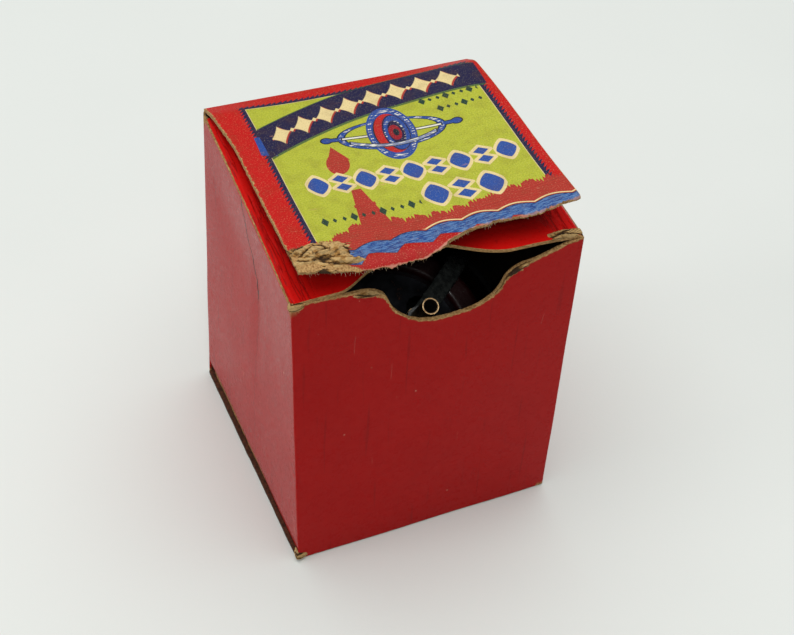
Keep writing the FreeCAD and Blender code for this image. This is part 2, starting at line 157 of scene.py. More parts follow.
# %% Describe a finish as one object with one way to add any node
class Finish:
    """A material being built, with short names for the nodes that this object's finishes use."""

    def __init__(self, name):
        self.material = bpy.data.materials.new(name)
        self.material.use_nodes = True
        self.tree = self.material.node_tree
        self.tree.nodes.clear()
        self.places = {}
        self.base = None

    def node(self, kind, settings=None, sockets=None):
        made = self.tree.nodes.new("ShaderNode" + kind)
        for key, value in (settings or {}).items():
            if key == "stops":
                ramp = made.color_ramp.elements
                while len(ramp) < len(value):
                    ramp.new(1.0)
                for element, (position, colour) in zip(ramp, value):
                    element.position = position
                    element.color = (*colour, 1.0)
            else:
                setattr(made, key, value)
        for key, value in (sockets or {}).items():
            if isinstance(value, Number):
                self.tree.links.new(value.socket, made.inputs[key])
            elif isinstance(value, bpy.types.NodeSocket):
                self.tree.links.new(value, made.inputs[key])
            else:
                made.inputs[key].default_value = value
        return made

    def place(self, source="Object"):
        """Where a point is, as three numbers in millimetres."""
        if source not in self.places:
            if source == "margins":
                at = self.node("UVMap", {"uv_map": source}).outputs[0]
            else:
                at = self.node("TexCoord").outputs[source]
            scale = 1 / MM if source == "Object" else 100.0
            scaled = self.node("VectorMath", {"operation": "SCALE"}, {0: at, "Scale": scale}).outputs[0]
            split = self.node("SeparateXYZ", None, {0: scaled})
            self.places[source] = scaled, [Number(self, output) for output in split.outputs]
        return self.places[source]

    def grain(self, size, detail=3.0, stretch=(1, 1, 1), source="Object"):
        """Cloudy noise between 0 and 1, with lumps about size millimetres across."""
        where = self.place(source)[0]
        if stretch != (1, 1, 1):
            where = self.node("VectorMath", {"operation": "MULTIPLY"}, {0: where, 1: stretch}).outputs[0]
        made = self.node("TexNoise", None, {"Vector": where, "Scale": 1.0 / size, "Detail": detail})
        return Number(self, made.outputs[0])

    def paper_grain(self, size, detail, stretch=(1, 1, 1)):
        """The same noise, measured along the sheet, so that it stays with the print."""
        return self.grain(size, detail, stretch, "UV")

    def cells(self, size):
        """The distance to the nearest of many scattered points, size millimetres apart."""
        made = self.node("TexVoronoi", None, {"Vector": self.place()[0], "Scale": 1.0 / size})
        return Number(self, made.outputs["Distance"])

    def blend(self, mask, below, above):
        """The colour below where mask is 0, and the colour above where it is 1."""
        inputs = {0: mask, 6: self.colour(below), 7: self.colour(above)}
        return self.node("Mix", {"data_type": "RGBA"}, inputs).outputs[2]

    def lay(self, mask, paint):
        """Lays one more paint on the finish's colour, where mask is 1."""
        self.base = self.blend(mask, self.base, paint)

    def stamp(self, distance, paint):
        """Prints a shape, from the distance to its outline."""
        self.lay(printed(distance), paint)

    def colour(self, value):
        return value if isinstance(value, bpy.types.NodeSocket) else (*value, 1.0)

    def finish(self, roughness, height, metallic=0.0, depth=1.0, coat=0.0, specular=0.5):
        """Ends the finish. height is in millimetres when depth is 1."""
        sockets = {"Base Color": self.base, "Roughness": roughness, "Metallic": metallic}
        sockets["Specular IOR Level"] = specular
        sockets["Coat Weight"] = coat
        sockets["Coat Roughness"] = 0.12
        sockets["Normal"] = self.node("Bump", None, {"Height": height, "Distance": depth * MM}).outputs[0]
        shader = self.node("BsdfPrincipled", None, sockets)
        self.node("OutputMaterial", None, {"Surface": shader.outputs[0]})
        return self.material


# %% Mix printing colours the way a paint chart gives them
def ink(red, green, blue):
    """A colour chart's 0 to 255 values as the light that the surface returns."""
    return tuple(
        value / 255 / 12.92 if value / 255 <= 0.04045 else ((value / 255 + 0.055) / 1.055) ** 2.4
        for value in (red, green, blue)
    )


RED = ink(175, 11, 10)
DARK_RED = ink(152, 10, 10)
# The flaps' red is brighter than the walls': painted light that makes up for the shade under the lid.
FLAP_RED_LIGHTENED_FOR_SHADE = ink(222, 22, 18)
KRAFT = ink(204, 164, 108)
KRAFT_DARK = ink(128, 88, 48)
INSIDE_BOARD_PAINTED_SHADE = ink(88, 76, 62)
NAVY = ink(30, 27, 66)
BLUE = ink(38, 74, 150)
LIME = ink(186, 188, 58)
CREAM = ink(232, 208, 150)
LABEL_RED = ink(196, 14, 12)
BRICK = ink(178, 52, 40)
GREEN = ink(44, 84, 56)

# %% [markdown]
# ## Floor and light
# The box stands on plain pale paper under one very large soft light, with light from all round. Most of the
# gloss on the walls is the pale floor seen in them, and it is strongest on the wall that is seen most from
# the side.

# %% Lay the floor and hang the light
FLOOR_REACH = 4.0
FLOOR_SQUARES = 40
LAMP_AIM = Vector((0, 0, 0.04))
LAMP_TINT = (0.98, 1.0, 0.99)
AIR_COLOUR = (0.95, 0.98, 1.0, 1.0)
AIR_STRENGTH = 0.15


def paper_floor():
    finish = Finish("studio_paper")
    tone = finish.grain(60.0, 2.0)
    finish.base = finish.blend(tone.over(0.5, 0.8), ink(224, 226, 222), ink(227, 229, 225))
    return finish.finish(0.75, finish.grain(0.6, 2.0), depth=0.02, specular=0.2)


def studio():
    mesh = bpy.data.meshes.new("studio_floor")
    grid = bmesh.new()
    bmesh.ops.create_grid(grid, x_segments=FLOOR_SQUARES, y_segments=FLOOR_SQUARES, size=FLOOR_REACH)
    grid.to_mesh(mesh)
    grid.free()
    mesh.materials.append(paper_floor())
    new_object("studio_floor", mesh)

    def lamp(name, place, size, power):
        light = bpy.data.lights.new(name, "AREA")
        light.shape = "DISK"
        light.size = size
        light.energy = power
        light.color = LAMP_TINT
        holder = new_object(name, light)
        holder.location = place
        holder.rotation_euler = (Vector(place) - LAMP_AIM).to_track_quat("Z", "Y").to_euler()

    lamp("overhead_softbox", (0.0, 0.15, 2.0), 3.0, 49.5)
    lamp("front_lamp", (-0.22, -0.81, 1.0), 0.22, 1.6)
    lamp("left_lamp", (-1.3, 0.1, 0.6), 0.5, 3.2)
    world = bpy.data.worlds.new("studio_air")
    world.use_nodes = True
    background = world.node_tree.nodes["Background"]
    background.inputs[0].default_value = AIR_COLOUR
    background.inputs[1].default_value = AIR_STRENGTH
    bpy.context.scene.world = world
    bpy.context.scene.view_settings.view_transform = "Standard"
    print("floor reaches", FLOOR_REACH, "m each way")


studio()

# %% [markdown]
# ## Boards
# Every board is a thin closed sheet: a printed face, a raw back and a torn brown edge between them. One
# helper builds it from a rule that says where each point of the sheet lies. The raw edge gets a middle line
# that swells a little, because worn board is fluffy there.

# %% Turn a rule for points into a closed board
def add_object(name, mesh, body, slot):
    piece = new_object(name, mesh)
    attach(piece, body)
    return piece


def turn_outwards(mesh, smallest=0.0):
    """Turns all faces outwards and shades them smooth. Slivers under smallest millimetres go first."""
    tidy = bmesh.new()
    tidy.from_mesh(mesh)
    if smallest:
        loose = [vertex for vertex in tidy.verts if not vertex.link_faces]
        bmesh.ops.delete(tidy, geom=loose, context="VERTS")
        bmesh.ops.dissolve_degenerate(tidy, edges=tidy.edges, dist=smallest * MM)
    bmesh.ops.recalc_face_normals(tidy, faces=tidy.faces)
    tidy.to_mesh(mesh)
    tidy.free()
    mesh.polygons.foreach_set("use_smooth", [True] * len(mesh.polygons))


def spread(start, end, steps):
    return [start + (end - start) * step / steps for step in range(steps + 1)]


def board_mesh(name, across, along, place, materials, loop=False, swell=0.15):
    """place(u, v) gives the face's point, the back's point and the print's place, in millimetres.
    It may also give how far the left and front edges are."""
    columns, rows = len(across), len(along)
    points = [place(u, v) for v in along for u in across]
    count = len(points)
    vertices = [point[0] for point in points] + [point[1] for point in points]
    flat = [point[2] for point in points] * 2
    margins = [point[3] if len(point) > 3 else (9, 9) for point in points] * 2
    faces, kinds = [], []

    def at(row, column):
        return row * columns + column % columns

    for row in range(rows - 1):
        for column in range(columns if loop else columns - 1):
            corner = [at(row, column), at(row, column + 1), at(row + 1, column + 1), at(row + 1, column)]
            faces += [corner, [index + count for index in reversed(corner)]]
            kinds += [0, 1]

    bottom = [(at(0, c), at(1, c)) for c in range(columns)]
    top = [(at(rows - 1, c), at(rows - 2, c)) for c in range(columns)]
    if loop:
        borders = [bottom, top]
    else:
        right = [(at(r, columns - 1), at(r, columns - 2)) for r in range(1, rows - 1)]
        left = [(at(r, 0), at(r, 1)) for r in range(rows - 2, 0, -1)]
        borders = [bottom + right + top[::-1] + left]
    for border in borders:
        puff = 0.02 if loop and border is bottom else swell
        middles = []
        for index, inner in border:
            face_point, back_point = Vector(vertices[index]), Vector(vertices[index + count])
            outward = (face_point - Vector(vertices[inner])).normalized()
            ragged = noise.noise(face_point * 1.9) * puff
            middles.append(len(vertices))
            vertices.append((face_point + back_point) / 2 + outward * (puff + ragged))
            flat.append(flat[index])
            margins.append(margins[index])
        for step in range(len(border)):
            here, there = border[step][0], border[(step + 1) % len(border)][0]
            mid_here, mid_there = middles[step], middles[(step + 1) % len(border)]
            faces += [[here, there, mid_there, mid_here], [mid_here, mid_there, there + count, here + count]]
            kinds += [2, 2]

    mesh = bpy.data.meshes.new(name)
    mesh.from_pydata([Vector(vertex) * MM for vertex in vertices], [], faces)
    for material in materials:
        mesh.materials.append(material)
    mesh.polygons.foreach_set("material_index", kinds)
    for title, values in (("UVMap", flat), ("margins", margins)):
        layer = mesh.uv_layers.new(name=title)
        for corner in mesh.loops:
            layer.data[corner.index].uv = [value / 100 for value in values[corner.vertex_index]]
    turn_outwards(mesh)
    mesh.set_sharp_from_angle(angle=math.radians(50))
    print(name, len(mesh.polygons), "faces")
    return mesh


def rough(x, y, z):
    """Smooth noise between about -1 and 1."""
    return noise.noise(Vector((x, y, z)))


def ramp(value, start, end):
    """0 before start, 1 after end, and smooth between them."""
    share = min(1.0, max(0.0, (value - start) / (end - start)))
    return share * share * (3 - 2 * share)


def rounded(share):
    """1 at an edge and 0 from share 1 on, along a quarter circle."""
    return 1 - math.sqrt(max(0.0, 1 - (1 - min(1.0, max(0.0, share))) ** 2))


# %% [markdown]
# ## Board and paper finishes
# Three kinds of finish make every board. The face is red paper, polished by handling. The edge is bare
# brown board, built of pressed fibres. The inside is the same board made much darker and greyer, as
# painted shade for the dark inside of the box. Red gives way to brown wherever a corner or a rim has been
# rubbed, so each finish needs to know how near an edge it is.

# %% Mix the bare board finishes
def bare_board(name, light, dark, depth=0.12):
    finish = Finish(name)
    fibres = finish.grain(0.5, 4.0, (1.0, 1.0, 3.5))
    blotch = finish.grain(4.0, 3.0)
    finish.base = finish.blend(fibres.over(0.5, 0.35), dark, light)
    finish.lay(blotch.over(0.62, 0.25) * 0.6, dark)
    return finish.finish(0.85, fibres + finish.grain(0.15, 2.0) * 0.5, depth=depth, specular=0.25)


TORN_EDGE = bare_board("torn_brown_edge", KRAFT, KRAFT_DARK, 0.2)
# The inside board is much darker and greyer than the bare board: painted shade for the box's dark inside.
INNER_FACE = bare_board("inner_board_face_painted_shade", INSIDE_BOARD_PAINTED_SHADE, ink(58, 48, 38), 0.05)
# The bottom panel's board is darker still: painted shade on its edge, which stands in the dim gap at the
# floor.
BOTTOM_BOARD_PAINTED_SHADE = bare_board("bottom_board_face_painted_shade", ink(96, 54, 34), ink(44, 24, 15), 0.05)


# %% Mix the red paper of the walls
CRACK_Y = -4.0
CRACK_TOP_LENGTH = 22.0


def red_paper(name, red, dark, walls):
    finish = Finish(name)
    x, y, z = finish.place()[1]
    cloud = finish.grain(14.0, 3.0)
    mottle = finish.grain(1.6, 3.0)
    finish.base = finish.blend(cloud.over(0.5, 0.6) * 0.35, red, dark)
    finish.lay(mottle.over(0.62, 0.3) * 0.12, ink(206, 46, 36))
    rubbed = finish.grain(0.9, 3.0)
    streaks = finish.grain(1.1, 2.0, (1.0, 1.0, 0.045))
    finish.lay(streaks.over(0.68, 0.08) * 0.3, ink(112, 8, 10))
    specks = finish.cells(3.4).under(0.055, 0.03)
    finish.lay(specks * finish.grain(9.0, 1.0).over(0.6, 0.1), ink(236, 206, 180))
    height = mottle * 0.3 + finish.grain(0.25, 2.0) * 0.12 + cloud * 0.8
    roughness = 0.2 + mottle * 0.16 + rubbed.over(0.6, 0.2) * 0.1
    if not walls:
        # The creases are sunk by the bump, and the dark ink laid along them is painted shade.
        creases_painted_shade = abs(finish.grain(0.9, 3.0, (1.0, 0.06, 0.3)) - 0.5).under(0.02, 0.04)
        creases_painted_shade = creases_painted_shade * abs(x).over(HALF_WIDTH - 5.0, 2.5)
        finish.lay(creases_painted_shade * 0.5, ink(96, 8, 8))
        height = height - creases_painted_shade * 2.0
    if walls:
        from_fold, below_rim = finish.place("UV")[1][:2]
        shoulders = (abs(x - 15.5) * 0.7 - 2.0).under(0.0, 2.0) * 2.4
        shoulders = shoulders.most((abs(x + 11.5) * 0.6 - 2.0).under(0.0, 2.0) * 1.5) * y.under(-20.0, 1.0)
        edge = below_rim.under(rubbed * (0.9 + shoulders) - 0.14, 0.16)
        ends = z.under(0.9, 0.9).most(below_rim.under(1.8, 2.0) * x.under(0.0, 1.0))
        worn = edge.most(ends * from_fold.under(rubbed * 4.2 - 0.8, 0.4))
        finish.lay(worn, finish.blend(finish.grain(0.4, 3.0).over(0.5, 0.4), KRAFT_DARK, KRAFT))
        wander = finish.grain(6.0, 3.0, (0.0, 0.0, 1.0)) * 5.0 - 2.5
        from_crack = abs(y - CRACK_Y - wander - (z - RIM + CRACK_TOP_LENGTH).most(0.0) * 0.33)
        on_left = x.under(3.0 - HALF_WIDTH, 0.5)
        high = z.over(RIM - CRACK_TOP_LENGTH, 3.0)
        # The crack and a faint line along the crease are inked almost black: painted shade in the split.
        crack_painted_shade = on_left * from_crack.under(0.22, 0.12) * high
        crease_line_painted_shade = on_left * from_crack.under(0.12, 0.2) * 0.35
        # The crack's raised lips are inked pale pink: a painted highlight on their edges.
        crack_lip_highlight = on_left * (from_crack - 0.55).under(0.0, 0.2) * high * rubbed.over(0.5, 0.1)
        finish.lay(crack_lip_highlight * 0.35, ink(228, 140, 124))
        finish.lay(crack_painted_shade.most(crease_line_painted_shade), ink(34, 4, 5))
        hairs = finish.grain(7.0, 2.0, (1.0, 1.0, 0.12))
        hairline = abs(hairs - 0.5).under(0.002, 0.004) * finish.grain(8.0, 1.0).over(0.68, 0.05)
        finish.lay(hairline * 0.3, ink(232, 150, 134))
        height = height - crack_painted_shade * 6.0 + crack_lip_highlight - worn * 0.6 - hairline * 0.5
        roughness = roughness + worn * 0.4
    return finish.finish(roughness, height, depth=0.05, specular=0.075)


WALL_PAPER = red_paper("red_wall_paper", RED, DARK_RED, True)
# The flaps' paper takes the brightened red, as painted light for the flaps in the lid's shade.
FLAP_PAPER = red_paper("red_flap_paper", FLAP_RED_LIGHTENED_FOR_SHADE, RED, False)

# %% [markdown]
# ## The four walls
# On the real carton the walls are one sheet, folded at three corners and glued at the fourth. Four separate
# plates would show straight seams, so the walls are built here as one tube that follows the rounded
# corners. Years of handling have twisted the tube: its foot is turned a few degrees against its rim. The
# left wall has sunk in, and the right front corner is pulled up and leans out.

# %% Follow the outline of the tube
FOLD = 0.32
TWIST = math.radians(2.85)
NOTCH_DEPTH = 11.4
NOTCH_BOTTOM_RADIUS = 11.0
NOTCH_SHOULDER_RADIUS = 5.0
NOTCH_LEFT = 1.0
NOTCH_RIGHT = 2.8
RIM_SAG = 1.7
CORNER_LIFT = 1.5
FLARE = 1.2


def tube_outline():
    """Stations round the walls from the back left: x, y, the outward way's x and y, and how far a fold is."""
    straight_x, straight_y = HALF_WIDTH - FOLD, HALF_DEPTH - FOLD
    sides = [
        ((-HALF_WIDTH, straight_y), (-HALF_WIDTH, -straight_y), (-1, 0), 80),
        ((-straight_x, -HALF_DEPTH), (straight_x, -HALF_DEPTH), (0, -1), 150),
        ((HALF_WIDTH, -straight_y), (HALF_WIDTH, straight_y), (1, 0), 70),
        ((straight_x, HALF_DEPTH), (-straight_x, HALF_DEPTH), (0, 1), 60),
    ]
    stations = []
    for start, end, out, steps in sides:
        for share in spread(0, 1, steps):
            x, y = (a + (b - a) * share for a, b in zip(start, end))
            length = math.dist(start, end)
            stations.append((x, y, *out, min(share, 1 - share) * length))
        corner_x = math.copysign(straight_x, end[0])
        corner_y = math.copysign(straight_y, end[1])
        first = math.atan2(out[1], out[0])
        for step in range(1, 6):
            angle = first + math.pi / 2 * step / 6
            x, y = math.cos(angle), math.sin(angle)
            stations.append((corner_x + FOLD * x, corner_y + FOLD * y, x, y, 0.0))
    return stations


def notch_depth(x):
    """How far the thumb notch cuts down at x: a round bottom that runs into two round shoulders."""
    away = max(NOTCH_LEFT - x, x - NOTCH_RIGHT, 0.0)
    reach = NOTCH_BOTTOM_RADIUS + NOTCH_SHOULDER_RADIUS
    half_mouth = math.sqrt(reach ** 2 - (reach - NOTCH_DEPTH) ** 2)
    meeting = half_mouth * NOTCH_BOTTOM_RADIUS / reach
    if away < meeting:
        return NOTCH_DEPTH - NOTCH_BOTTOM_RADIUS + math.sqrt(NOTCH_BOTTOM_RADIUS ** 2 - away ** 2)
    if away < half_mouth:
        return NOTCH_SHOULDER_RADIUS - math.sqrt(NOTCH_SHOULDER_RADIUS ** 2 - (half_mouth - away) ** 2)
    return 0.0


def corner_lift(x, y):
    """How far the rim is pulled up towards the right front corner."""
    return CORNER_LIFT * ramp(x, 17, HALF_WIDTH) * ramp(-y, -14, HALF_DEPTH)


def flare(x, y, z):
    """How far the right front fold leans out, most at the rim."""
    forward = 0.35 + 0.65 * ramp(-y, -HALF_DEPTH, HALF_DEPTH)
    return FLARE * (0.35 + 0.65 * z / RIM) * ramp(x, 4, HALF_WIDTH) * forward


def rim_height(x, y):
    """The height of the walls' upper edge, in millimetres."""
    if y < -HALF_DEPTH + 0.02:
        sag = RIM_SAG * ramp(x, 4, 15) * (1 - ramp(x, 17, HALF_WIDTH - FOLD)) - corner_lift(x, y)
        frayed = 0.12 * rough(x * 0.9, 3.1, 0) + 0.08 * rough(x * 3.1, 0, 0)
        return RIM + 0.5 * ramp(-x, 8, HALF_WIDTH) - notch_depth(x) - sag + frayed
    return RIM + corner_lift(x, y) + (LID_FOLD - RIM) * ramp(y, HALF_DEPTH - FOLD, HALF_DEPTH)


def sink(x, y, z):
    """How far a wall stands out from its flat place; the left wall has sunk in below its rim."""
    wave = 0.12 * noise.noise(Vector((x, y, z)) * 0.06)
    if x < 0.02 - HALF_WIDTH:
        share = max(0.0, math.cos(math.pi / 2 * (y + 2) / (HALF_DEPTH + 3)))
        crease = 0.35 * max(0.0, 1 - abs(y - CRACK_Y) / 5)
        crushed = (0.5 + 0.5 * ramp(y, -26, 10)) * ramp(4.5 - z, 0, 4)
        sunk = ramp(z, 20, 55) * (1 - 0.85 * ramp(z, 56, RIM))
        return wave - 1.2 * share ** 1.5 * sunk - crease * sunk - crushed
    from_middle = abs(x) / HALF_WIDTH if abs(y) > HALF_DEPTH - 0.02 else abs(y) / HALF_DEPTH
    middle = math.cos(math.pi / 2 * min(1, from_middle))
    return wave + 0.25 * middle * math.sin(math.pi * min(1, z / RIM))


def twisted(point):
    """The tube's foot is turned against its rim, and its right front fold leans out."""
    angle = TWIST * (1 - point[2] / RIM)
    x, y, z = point
    x += flare(x, y, z)
    return (x * math.cos(angle) - y * math.sin(angle), x * math.sin(angle) + y * math.cos(angle), z)


# %% Fold the walls
outline = tube_outline()
wall_levels = [1 - (1 - share) ** 1.35 for share in spread(0, 1, 64)]


def wall_point(station, level):
    x, y, out_x, out_y, from_fold = outline[station]
    rim = rim_height(x, y)
    foot = 0.3 if y < 0 else 0.0
    if x < FOLD - HALF_WIDTH and abs(y) < HALF_DEPTH - FOLD:
        foot = BOARD + 0.1 + 0.5 * ramp(y, -10, 28)
    z = foot + (rim - foot) * level
    out = sink(x, y, z)
    face = (x + out_x * out, y + out_y * out, z)
    back = (x + out_x * (out - BOARD), y + out_y * (out - BOARD), z)
    return twisted(face), twisted(back), (from_fold, rim - z)


wall_finishes = [WALL_PAPER, INNER_FACE, TORN_EDGE]
wall_mesh = board_mesh("carton_walls", range(len(outline)), wall_levels, wall_point, wall_finishes, loop=True)
walls = add_object("carton_walls", wall_mesh, "carton", "carton_board")
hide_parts("front_wall", "back_wall", "left_wall", "right_wall")

# %% [markdown]
# ## The closed bottom
# The bottom panel is folded in under the walls and pasted. Its brown edge shows under the left wall. Two
# flaps lie on it, its tuck stands up behind, and the glue lap holds the left wall to the back one.

# %% Fold the bottom, its flaps, its tuck and the glue lap
FLAT_STEPS = 28


def flat_board(name, node, materials, spare_left=0.0):
    """A board in the place of a packed one, thin along its shortest side, and twisted with the walls."""
    low, high = ([value / MM for value in corner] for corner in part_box(node))
    low[0] -= spare_left
    thin = min(range(3), key=lambda axis: high[axis] - low[axis])
    first, second = (axis for axis in range(3) if axis != thin)
    rest = [low[axis] for axis in range(3)]

    def place(u, v):
        face, back = list(rest), list(rest)
        face[first] = back[first] = u
        face[second] = back[second] = v
        ripple = 0.05 * noise.noise(Vector((u, v, thin * 7.0)) * 0.25)
        face[thin], back[thin] = low[thin] + ripple, high[thin] + ripple
        return twisted(face), twisted(back), (u, v)

    across, along = (spread(low[axis], high[axis], FLAT_STEPS) for axis in (first, second))
    mesh = board_mesh(name, across, along, place, materials)
    piece = add_object(name, mesh, "carton", "carton_board")
    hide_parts(node)


# The bottom's back and edge take the darkest board, as painted shade where it meets the floor.
flat_board("bottom_board", "bottom_panel", [FLAP_PAPER, BOTTOM_BOARD_PAINTED_SHADE, BOTTOM_BOARD_PAINTED_SHADE], 0.22)
for name, node in (
    ("bottom_flap_board_left", "bottom_flap_left"),
    ("bottom_flap_board_right", "bottom_flap_right"),
    ("bottom_tuck_board", "bottom_tuck"),
):
    flat_board(name, node, [INNER_FACE, FLAP_PAPER, TORN_EDGE])
flat_board("glue_lap_board", "glue_lap", [FLAP_PAPER, INNER_FACE, TORN_EDGE])

# %% [markdown]
# ## Dust flaps
# Two flaps fold in from the side walls under the lid. They start in a rounded, much-creased fold, and their
# front edges are cut back towards the tips. The right one is pulled up at its front corner. Each is a thin
# sheet that leaves the wall's outer face, turns over the rim and runs inwards.

# %% Fold the dust flaps
FLAP_FOLD = 0.9
flap_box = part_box("dust_flap_right")
FLAP_REACH = (flap_box[1][0] - flap_box[0][0]) / MM
FLAP_BACK = flap_box[1][1] / MM


def flap_fronts(side, reach):
    """Where a flap's front edge lies at a reach from its fold."""
    if side < 0:
        return 0.35 - HALF_DEPTH + 4.3 * ramp(reach, 9, 19) + 1.2 * ramp(reach, 19, 28)
    return 0.35 - HALF_DEPTH + 6.8 * ramp(reach, 13, 32) / ramp(FLAP_REACH, 13, 32)


def flap_backs(reach):
    return FLAP_BACK - reach / 1.5


def flap_face(side, reach, y):
    """The point of a flap's upper face at a reach from its fold."""
    curl = 0.12 if side > 0 else 0.1
    lift = math.tan(math.radians(FLAP_REST))
    crumple = 0.12 * rough(reach * 1.3, y * 0.12, side) * ramp(7 - reach, 0, 6)
    z = RIM + reach * lift + curl * (reach / FLAP_REACH) ** 2 + BOARD + crumple * ramp(reach, 0.2, 1)
    z += 0.1 * rough(reach * 0.2, y * 0.2, 9) - 0.1
    bow = 0.18 * max(0.0, math.cos(math.pi / 2 * (y + 2) / (HALF_DEPTH + 3))) ** 1.5
    if side > 0:
        bow = -flare(HALF_WIDTH, y, RIM)
        z += corner_lift(HALF_WIDTH, y) * ramp(HALF_WIDTH - reach, 0, 22)
    return side * (HALF_WIDTH - reach - bow * ramp(8 - reach, 0, 8)), z


def dust_flap(side, name, node, body):
    def place(reach, share):
        y = flap_fronts(side, reach) * (1 - share) + flap_backs(reach) * share
        x, z = flap_face(side, reach, y)
        turn = min(1.0, reach / FLAP_FOLD)
        z -= BOARD * rounded(turn) + 0.5 * (1 - turn)
        return (x, y, z), (x - side * 0.5 * (1 - turn), y, z - BOARD * (0.25 + 0.75 * turn)), (reach, y)

    reaches = spread(0, 8, 40) + spread(8, FLAP_REACH, 36)[1:]
    mesh = board_mesh(name, reaches, spread(0, 1, 60), place, [FLAP_PAPER, INNER_FACE, TORN_EDGE])
    piece = add_object(name, mesh, body, "carton_board")
    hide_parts(node)


dust_flap(-1, "dust_flap_board_left", "dust_flap_left", "left_flap")
dust_flap(1, "dust_flap_board_right", "dust_flap_right", "right_flap")

# %% [markdown]
# ## The label
# The label is printed in a few flat inks. It could be an image, but a finish that draws its shapes from
# distances stays sharp at any size and needs no file. Each shape is a rule that gives the distance to its
# outline. Overlapping shapes are laid on in printing order. It carries no words: rows of lozenges, stars
# and dashes stand in their place, and the scene along its foot is a plain skyline with a beacon.

# %% Draw the printed shapes
LABEL_LEFT, LABEL_RIGHT = -21.0, 25.4
LABEL_BACK, LABEL_FRONT = 5.0, 60.0
TOOTH = 1.15
PRINT_SOFTNESS = 0.1


def printed(distance):
    """1 inside a shape and 0 outside it."""
    return distance.under(0.0, PRINT_SOFTNESS)


def squared(value):
    return value * value


def ellipse(x, y, radius_x, radius_y):
    smaller = min(radius_x, radius_y)
    return (squared(x / radius_x) + squared(y / radius_y)) ** 0.5 * smaller - smaller


def lozenge(x, y, half_x, half_y):
    return (abs(x) / half_x + abs(y) / half_y - 1) * min(half_x, half_y) * 0.7


def zigzag(along, period):
    """A triangle wave between 0 and 1."""
    return abs((along / period).fraction() * 2 - 1)


def ribbon_middle(x):
    return 9.45 - x * 0.22 + squared(x) * 0.0088


def lay_border(finish, x, s):
    middle_x, middle_s = (LABEL_LEFT + LABEL_RIGHT) / 2, (LABEL_BACK + LABEL_FRONT) / 2
    half_x, half_s = (LABEL_RIGHT - LABEL_LEFT) / 2, (LABEL_FRONT - LABEL_BACK) / 2
    field = (abs(x - middle_x) - half_x).most(abs(s - middle_s) - half_s)
    teeth = zigzag(x + s + finish.paper_grain(2.0, 1.0) * 0.8, TOOTH) * 0.85
    finish.stamp(field - 0.75 - teeth, NAVY)
    finish.stamp(field - 0.12, CREAM)
    tone = finish.paper_grain(0.35, 2.0)
    lime = finish.blend(tone.over(0.52, 0.3) * 0.5, LIME, ink(146, 160, 44))
    finish.stamp(field, lime)


def lay_ribbon(finish, x, s):
    offset = s - ribbon_middle(x)
    half = 4.75 - x * 0.012
    end = x - 27.8 + (s - 4.0) * 0.06
    body = (abs(offset) - half).most(LABEL_LEFT - 0.3 - x).most(end)
    shade = (abs(offset - 0.2) - half - 0.45).most(LABEL_LEFT - x).most(end + 0.3)
    finish.lay(printed(shade) * 0.85, GREEN)
    tail = (LABEL_LEFT - 1.5 - x + (s - 16.5) * -0.05).most(x - LABEL_LEFT - 1.3).most(15.5 - s)
    tail = tail.most(s - 22.2 - (x - LABEL_LEFT) * 0.25)
    finish.stamp(tail, BLUE)
    finish.stamp(body, NAVY)
    pitch = 5.35
    cell = ((x + 19.6) / pitch).fraction() * pitch - pitch / 2
    inside = x.over(-19.0, 0.1) * x.under(23.2, 0.1)

    def ornament(shift_x, shift_s):
        along, up = cell - shift_x, offset - shift_s
        star = ((abs(along) / 2.3) ** 0.8 + (abs(up) / 3.2) ** 0.8) - 1
        return star.least(lozenge(abs(along) - pitch / 2, up, 0.55, 0.7))

    finish.lay(printed(ornament(0.28, 0.3)) * inside, BRICK)
    finish.lay(printed(ornament(0.0, 0.0)) * inside, CREAM)


def lay_gyroscope(finish, x, s):
    lean = math.radians(6.8)
    dx, ds = x - 4.0, s - 21.8
    along = dx * math.cos(lean) + ds * math.sin(lean)
    up = ds * math.cos(lean) - dx * math.sin(lean)
    outline, pale = ink(22, 30, 44), ink(232, 228, 214)
    ball = ellipse(abs(along) - 13.2, up, 0.95, 0.85)
    neck = (abs(up) - 0.45).most(abs(along) - 13.0).most(9.5 - abs(along))
    hoop = abs(ellipse(along, up * 2.15, 10.2, 10.2)) - 0.6
    drawing = ball.least(neck).least(hoop)
    finish.stamp(drawing - 0.28, outline)
    finish.stamp(drawing, BLUE)
    flash = finish.paper_grain(0.9, 2.0, (0.45, 2.0, 1.0)).over(0.56, 0.06)
    finish.lay(printed(abs(hoop + 0.45) - 0.2) * flash, pale)
    axle = (abs(up) - 0.25).most(abs(along) - 10.0)
    finish.stamp(axle - 0.25, outline)
    finish.stamp(axle, pale)

    rotor = abs(ellipse(along, up, 4.2, 7.9)) - 0.62
    finish.stamp(ellipse(along, up, 4.9, 8.6), outline)
    finish.stamp(rotor, BLUE)
    finish.lay(printed(abs(rotor + 0.45) - 0.13) * flash, pale)
    finish.stamp(ellipse(along, up, 3.3, 6.8), ink(190, 30, 32))
    finish.stamp(ellipse(along - 0.9, up, 2.6, 6.2), NAVY)
    finish.stamp(abs(ellipse(along - 1.0, up, 2.0, 5.0)) - 0.35, BLUE)
    finish.lay(printed(abs(ellipse(along - 0.6, up, 1.9, 4.2)) - 0.16) * flash, pale)
    finish.stamp(ellipse(along - 0.7, up, 1.25, 2.6), ink(150, 24, 40))
    finish.stamp(ellipse(along - 0.9, up, 0.6, 1.2), outline)
    front = (abs(up - 3.9 + squared(along) * 0.03) - 0.42).most(abs(along) - 8.6)
    finish.stamp(front - 0.22, outline)
    finish.stamp(front, finish.blend(flash.most(0.25), BLUE, pale))


